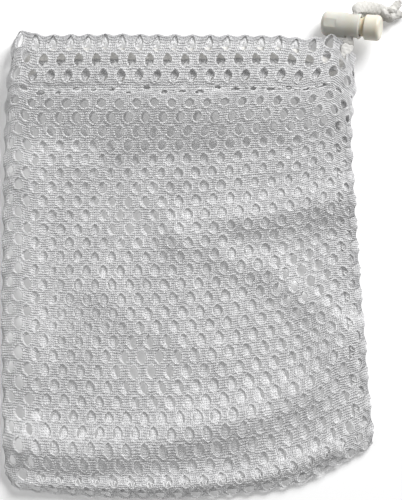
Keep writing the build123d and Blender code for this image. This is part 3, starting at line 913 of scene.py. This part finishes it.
def lattice_piece(name, skin, cells, holes, top, cloth=CLOTH):
    """Mesh cloth: one six-sided cell for each (u, v) of cells, with an oval hole in it.

    holes gives each hole's half width, half height and shift up, as shares of a column and a row."""
    corner = np.round(cells[:, None, :] * RING_UNITS + RING[None]).astype(int)
    flat = corner.reshape(-1, 2)
    shared, index = np.unique(flat, axis=0, return_inverse=True)
    index = index.reshape(len(cells), len(RING))
    border = shared / RING_UNITS
    border[border[:, 1] <= EDGE_SNAP, 1] = 0
    border[border[:, 1] >= top - EDGE_SNAP, 1] = top
    outline = border[index]
    offset = (RING / RING_UNITS)[None] * CELL_SIZE
    angle = np.arctan2(offset[..., 1], offset[..., 0])
    half = holes[:, :2] * CELL_SIZE
    power = np.where(np.sin(angle) > 0, *HOLE_POWERS)
    reach = ((np.abs(np.cos(angle)) / half[:, :1]) ** power
             + (np.abs(np.sin(angle)) / half[:, 1:]) ** power) ** (-1 / power)
    lean = LEAN * lean_waves(cells[:, 0], cells[:, 1])[:, None]
    hole_x = reach * np.cos(angle)
    hole_y = reach * np.sin(angle)
    hole = cells[:, None, :] + np.stack([hole_x + lean * hole_y, hole_y], axis=-1) / CELL_SIZE
    hole[..., 1] += holes[:, 2:]
    places = [border]
    lifts = [np.zeros(len(border))]
    rim_highlights = [np.zeros(len(border))]
    for share, height, rim_highlight_share in STRAND_RINGS:
        places.append((outline + (hole - outline) * share).reshape(-1, 2))
        lifts.append(np.full(index.size, height))
        rim_highlights.append(np.full(index.size, rim_highlight_share))
    places.append(border)
    lifts.append(np.full(len(border), STRAND_UNDER))
    rim_highlights.append(np.zeros(len(border)))
    uv = np.concatenate(places)
    height = np.concatenate(lifts)
    position, normal = skin.at(uv[:, 0], uv[:, 1])
    wobble = WOBBLE * size_waves(uv[:, 0] * 3.1 + 7, uv[:, 1] * 3.1)
    points = position + normal * (height + wobble)[:, None]
    layers = [index]
    start = len(border)
    for _ in STRAND_RINGS:
        layers.append(start + np.arange(index.size).reshape(index.shape))
        start += index.size
    layers.append(start + index)
    quads = []
    for outer, inner in zip(layers, layers[1:]):
        quads.append(np.stack([outer, inner, np.roll(inner, -1, axis=1), np.roll(outer, -1, axis=1)],
                              axis=-1).reshape(-1, 4))
    one = np.stack([index, np.roll(index, -1, axis=1)], axis=-1).reshape(-1, 2)
    _, first, count = np.unique(np.sort(one, axis=1), axis=0, return_index=True, return_counts=True)
    rim = one[first[count == 1]]
    quads.append(np.stack([rim[:, 0], rim[:, 1], start + rim[:, 1], start + rim[:, 0]], axis=-1))
    piece = new_piece(name, points, np.concatenate(quads), cloth, "bag", "mesh", uv=uv)
    # painted light: this attribute carries the highlight round the holes and the painted shade at the
    # turned edges
    painted_light_layer = piece.data.attributes.new("rim", "FLOAT", "POINT")
    from_mouth = (ROWS - uv[:, 1]) * CELL_SIZE[1] / PAINTED_SHADE_REACH[1]
    from_side = np.abs(uv[:, 0] - COLUMNS) * CELL_SIZE[0] / PAINTED_SHADE_REACH[0]
    painted_edge_shade = np.exp(-np.minimum(from_mouth, from_side) ** 2) * (top == ROWS)
    painted_light_layer.data.foreach_set("value", (np.concatenate(rim_highlights) - PAINTED_EDGE_SHADE * painted_edge_shade).astype(np.float32))
    return piece


def cell_list(rows, first, last):
    """Cell middles for that many rows: they are staggered, and every second one starts on a fold."""
    cells = []
    for row in range(rows):
        start = first if row % 2 else first + 0.5
        count = math.ceil(last - first) + 1
        cells += [(start + step, row + 0.5) for step in range(count) if start + step < last]
    return np.array(cells)


def hole_sizes(cells, seed):
    """Half width, half height and shift of each hole.

    They are even in the casing and ragged slits along its stitches."""
    rng = np.random.default_rng(seed)
    row = cells[:, 1] - 0.5
    low = 1 - smooth_step(row, 8, 22)
    across_waves = size_waves(cells[:, 0], cells[:, 1])
    down_waves = size_waves(cells[:, 0] + 30, cells[:, 1])
    across = 0.26 + 0.02 * low + 0.03 * across_waves + rng.normal(0, 0.015, len(cells))
    down = 0.43 + 0.06 * low + 0.04 * down_waves + rng.normal(0, 0.018, len(cells))
    casing = row >= 29
    across[casing] = 0.27 + 0.02 * across_waves[casing]
    down[casing] = 0.45 + 0.03 * down_waves[casing]
    slit = row == 28
    across[slit] = rng.uniform(0.15, 0.30, slit.sum())
    down[slit] = rng.uniform(0.07, 0.20, slit.sum())
    shift = rng.normal(0, 0.03, len(cells))
    shift[slit] = rng.uniform(-0.22, 0.22, slit.sum())
    down[row == 27] *= 0.85
    from_fold = np.abs((cells[:, 0] + COLUMNS / 2) % COLUMNS - COLUMNS / 2)
    narrow = np.interp(from_fold, (0, 0.5, 1), (0.22, 0.7, 0.95))
    return np.stack([across * narrow, down * (0.35 + 0.65 * narrow), shift], axis=1)


front_cells = cell_list(ROWS, 0, COLUMNS)
front_cloth = lattice_piece("front_panel_cloth", SKIN, front_cells, hole_sizes(front_cells, SEED), ROWS)
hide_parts("front_mesh_panel")
back_cells = cell_list(ROWS, COLUMNS, 2 * COLUMNS)
back_cloth = lattice_piece("back_panel_cloth", SKIN, back_cells, hole_sizes(back_cells, SEED + 5), ROWS,
                           cloth=PAINTED_LIT_UNDER_CLOTH)
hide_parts("back_mesh_panel")


# ---------------- the casing's inner plies

HEM_ROWS = 4
HEM_FIRST = 2
HEM_LAST = 19
HEM_END = 28.15  # the row of the outer cloth at which the inner ply ends
HEM_HOLE = (0.26, 0.38, 0.0)
HEM_END_HOLE = (0.26, 0.28, 0.0)
HEM_SLIP = 0.055  # the inner ply's holes lie under the outer ones at the mouth and drift off below
HEM_SAG = 0.133  # and hang lower than them in between, in rows


def hem_skin(front):
    """The inner ply, from the mouth's fold, row 0, down to the stitches."""
    step = np.linspace(0, HEM_ROWS, HEM_ROWS * PER_CELL + 1)
    v = ROWS - step * (ROWS - HEM_END) / HEM_ROWS
    v = v - HEM_SAG * step * (HEM_ROWS - step)
    u = np.linspace(0, COLUMNS, COLUMNS * PER_CELL + 1)
    u_grid, v_grid = np.meshgrid(u, v)
    u_grid = u_grid + HEM_SLIP * step[:, None] ** 2
    outer, _ = SKIN.at(u_grid if front else 2 * COLUMNS - u_grid, v_grid)
    edge_level, _ = SKIN.at(u_grid if front else 2 * COLUMNS - u_grid, np.full_like(v_grid, ROWS))
    y = outer[..., 1]
    gap = PLY_GAP - 2 * mouth_drop(edge_level[..., 1] - y)
    near_stitch = smooth_step(y, STITCH_LINE + 2.0, STITCH_LINE + 11.0)
    gap = STITCHED_GAP + (gap - STITCHED_GAP) * near_stitch
    surface = outer.copy()
    surface[..., 2] += -gap if front else gap
    return Skin(surface[::-1], PER_CELL)


for side_name, is_front in (("front", True), ("back", False)):
    skin = hem_skin(is_front)
    cells = cell_list(HEM_ROWS, HEM_FIRST, HEM_LAST)
    sizes = np.tile(HEM_HOLE, (len(cells), 1))
    sizes[cells[:, 1] < 1] = HEM_END_HOLE
    hem = lattice_piece(f"{side_name}_hem_cloth", skin, cells, sizes, HEM_ROWS)
    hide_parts(f"{side_name}_casing_hem")

# ---------------- seams and sewing thread

SEAM_WIDTH = 5.0
SEAM_INSET = 0.7
SEAM_LIFT = 0.55  # the seam allowances lie on the back
SIDE_RUN = ((66.6, 70.5), (66.0, 50), (67.9, 10), (70.0, -18), (72.4, -50), (74.0, -67))
BOTTOM_RUN = ((72.5, -72.5), (58.5, -80.5), (44.5, -87), (28, -90.6), (8, -93.0), (-20, -93.6),
              (-48, -92.2), (-66, -90.4))
SEAM_HOLE = (0.22, 0.30, 0.0)
OVERLOCK_PITCH = 2.6
# one zigzag of the thread: along, over the allowance's width and above it
OVERLOCK_ALONG = np.array((0.0, 0.35, 0.0, -0.35))
OVERLOCK_ACROSS = np.array((0.06, 0.36, 0.68, 0.36))
OVERLOCK_LIFT = np.array((0.10, 0.45, 0.12, 0.32))
OVERLOCK_THREAD = (0.42, 0.30)  # width and thickness
HEM_THREAD = (0.36, 0.26)
HEM_STITCH = 3.2  # from one stitch to the next, and how much of that shows
HEM_STITCH_SEEN = 2.3
FRONT_STITCH_ROW = 28.62  # in rows of the outer cloth
BACK_STITCH_ROW = 0.30  # in rows of the inner ply
STITCH_RISE = 0.12 + np.array((-0.35, 0.05, 0.22, 0.24, 0.05, -0.35))


def seam_skin(run, inward):
    """The allowance beside a seam: u counts columns along it, v goes from its inner edge to the seam."""
    length = route_length(np.array(run))
    columns = round(length / CELL_SIZE[0])
    line = smooth_line(run, columns * PER_CELL + 1)
    depth = np.linspace(SEAM_WIDTH + SEAM_INSET, SEAM_INSET, PER_CELL + 1)[:, None]
    x = line[None, :, 0] + inward[0] * depth
    y = line[None, :, 1] + inward[1] * depth
    z = back_level(x, y) + SEAM_LIFT
    return Skin(np.stack([x, y, z], axis=-1), PER_CELL), columns


def overlock_line(skin, columns):
    """The thread's zigzag over an allowance, from one edge to the other and back."""
    turns = round(columns * CELL_SIZE[0] / OVERLOCK_PITCH)
    step = np.arange(4 * turns + 1)
    u = (step + OVERLOCK_ALONG[step % 4]) * columns / (4 * turns)
    place, normal = skin.at(u, OVERLOCK_ACROSS[step % 4])
    return smooth_line(place + normal * OVERLOCK_LIFT[step % 4, None], 12 * turns)


for seam_name, run, inward in (("side", SIDE_RUN, (-1.0, 0.0)), ("bottom", BOTTOM_RUN, (0.0, 1.0))):
    skin, columns = seam_skin(run, inward)
    cells = cell_list(1, 0.5, columns - 0.5)
    sizes = np.tile(SEAM_HOLE, (len(cells), 1))
    allowance = lattice_piece(f"{seam_name}_seam_cloth", skin, cells, sizes, 1)
    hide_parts(f"{seam_name}_seam_allowance")
    part = tube_part(overlock_line(skin, columns), *OVERLOCK_THREAD, sides=8)
    thread = new_piece(f"{seam_name}_seam_thread", *part, THREAD, "bag", "thread")
    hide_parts(f"{seam_name}_seam_stitching")


def stitch_row(skin, row):
    """Separate visible stitches along a row of a skin, each dipping into the cloth at both ends."""
    columns = HEM_LAST - HEM_FIRST
    count = round(columns * CELL_SIZE[0] / HEM_STITCH)
    parts = []
    for index in range(count):
        middle = HEM_FIRST + (index + 0.5) * columns / count
        u = middle + np.linspace(-0.5, 0.5, 6) * HEM_STITCH_SEEN / CELL_SIZE[0]
        wander = 0.07 * size_waves(np.full(6, middle * 1.7), np.full(6, row))
        v = row + wander + 0.02 * np.linspace(-1, 1, 6)
        place, normal = skin.at(u, v)
        line = smooth_line(place + normal * STITCH_RISE[:, None], 14)
        parts.append(tube_part(line, *HEM_THREAD, sides=8))
    return join_parts(parts)


for side_name, skin, row in (("front", SKIN, FRONT_STITCH_ROW),
                             ("back", hem_skin(False), BACK_STITCH_ROW)):
    part = stitch_row(skin, row)
    thread = new_piece(f"{side_name}_hem_thread", *part, THREAD, "bag", "thread")
    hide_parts(f"{side_name}_hem_stitching")

# ---------------- the knot and the cut tips

KNOT_MIDDLE = np.array((82.2, 102.3, 2.95))
KNOT_REACH = np.array((0.72, 0.76, 1.05))
KNOT_CORD = (2.7, 1.9)  # width and thickness where it is drawn tight
TIPS = ((UPPER_ROUTE[-1], (0.45, 0.89, 0.02)), (LOWER_ROUTE[-1], (0.97, 0.24, -0.02)))  # place and way
FIBRES = 46
FIBRE_WIDTHS = np.linspace(0.22, 0.09, 8)


def knot_part():
    """The wraps of an overhand knot, drawn tight."""
    turn = np.linspace(0, TURN, 260)
    path = np.stack([np.sin(turn) + 2 * np.sin(2 * turn), np.cos(turn) - 2 * np.cos(2 * turn),
                     -np.sin(3 * turn)], axis=1)
    path = KNOT_MIDDLE + path * KNOT_REACH
    return tube_part(path, *KNOT_CORD, sides=20, relief=braid_relief, close=False)


def fibre_parts(rng):
    """The filaments that fan out of each cut end."""
    parts = []
    for tip, way in TIPS:
        way = np.array(way)
        side = np.cross(way, (0, 0, 1.0))
        for _ in range(FIBRES):
            turn = rng.uniform(0, TURN)
            out = rng.uniform(0.1, 1.0)
            beside = side * np.cos(turn)
            above = np.array((0, 0, np.sin(turn)))
            root = np.array(tip) - way * 0.6 + (beside * 0.95 + above * 0.6) * out
            spread = rng.uniform(0.25, 1.1) * out
            reach = rng.uniform(1.0, 2.3)
            end = root + way * reach + (beside + above * 0.5) * spread
            bend = rng.normal(0, 0.16, 3)
            line = smooth_line(np.array([root, (root + end) / 2 + bend, end + bend * 1.4]), 8)
            line[:, 2] = np.maximum(line[:, 2], 0.15)
            parts.append(tube_part(line, FIBRE_WIDTHS, FIBRE_WIDTHS, sides=5, close=False))
    return parts


part = join_parts([knot_part(), *fibre_parts(np.random.default_rng(SEED + 8))])
knot = new_piece("end_knot_braid", *part, CORD, "cord_lock", "cord")
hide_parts("end_knot")

# ---------------- the lock

SPRING_BACK = -10.65  # along the lock's axis from LOCK_CENTRE
SPRING_FRONT = -4.95
SPRING_RADIUS = 2.1
SPRING_TURNS = 6.5  # with a closed turn at each end
WIRE_WIDTH = 0.5
LOCK_ACROSS = np.array((0.121869, 0.992546, 0.0))
LOCK_UP = np.cross(LOCK_AXIS, LOCK_ACROSS)


def spring_points():
    turns = np.linspace(0, SPRING_TURNS, 520)
    closed = WIRE_WIDTH * 1.03
    open_height = SPRING_FRONT - SPRING_BACK - 2 * closed
    height = np.interp(turns, (0, 1, SPRING_TURNS - 1, SPRING_TURNS),
                       (0, closed, closed + open_height, 2 * closed + open_height))
    angle = TURN * turns[:, None]
    return (LOCK_CENTRE + LOCK_AXIS * (SPRING_BACK + height)[:, None]
            + SPRING_RADIUS * (np.cos(angle) * LOCK_ACROSS + np.sin(angle) * LOCK_UP))


part = tube_part(spring_points(), WIRE_WIDTH, WIRE_WIDTH, sides=12, up=LOCK_AXIS)
spring = new_piece("lock_spring_coil", *part, WIRE, "cord_lock", "spring_wire")
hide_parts("cord_lock_spring")
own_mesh(spring)

for node, material in (("cord_lock_barrel", BARREL), ("cord_lock_plunger", BUTTON)):
    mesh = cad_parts[node].data
    mesh.materials.clear()
    mesh.materials.append(material)

# ---------------- the floor


def add_floor():
    mesh = bpy.data.meshes.new("floor")
    far = FLOOR_HALF
    mesh.from_pydata([(-far, -far, 0), (far, -far, 0), (far, far, 0), (-far, far, 0)], [], [(0, 1, 2, 3)])
    mesh.materials.append(floor_material())
    floor = bpy.data.objects.new("floor", mesh)
    bpy.context.scene.collection.objects.link(floor)


add_floor()
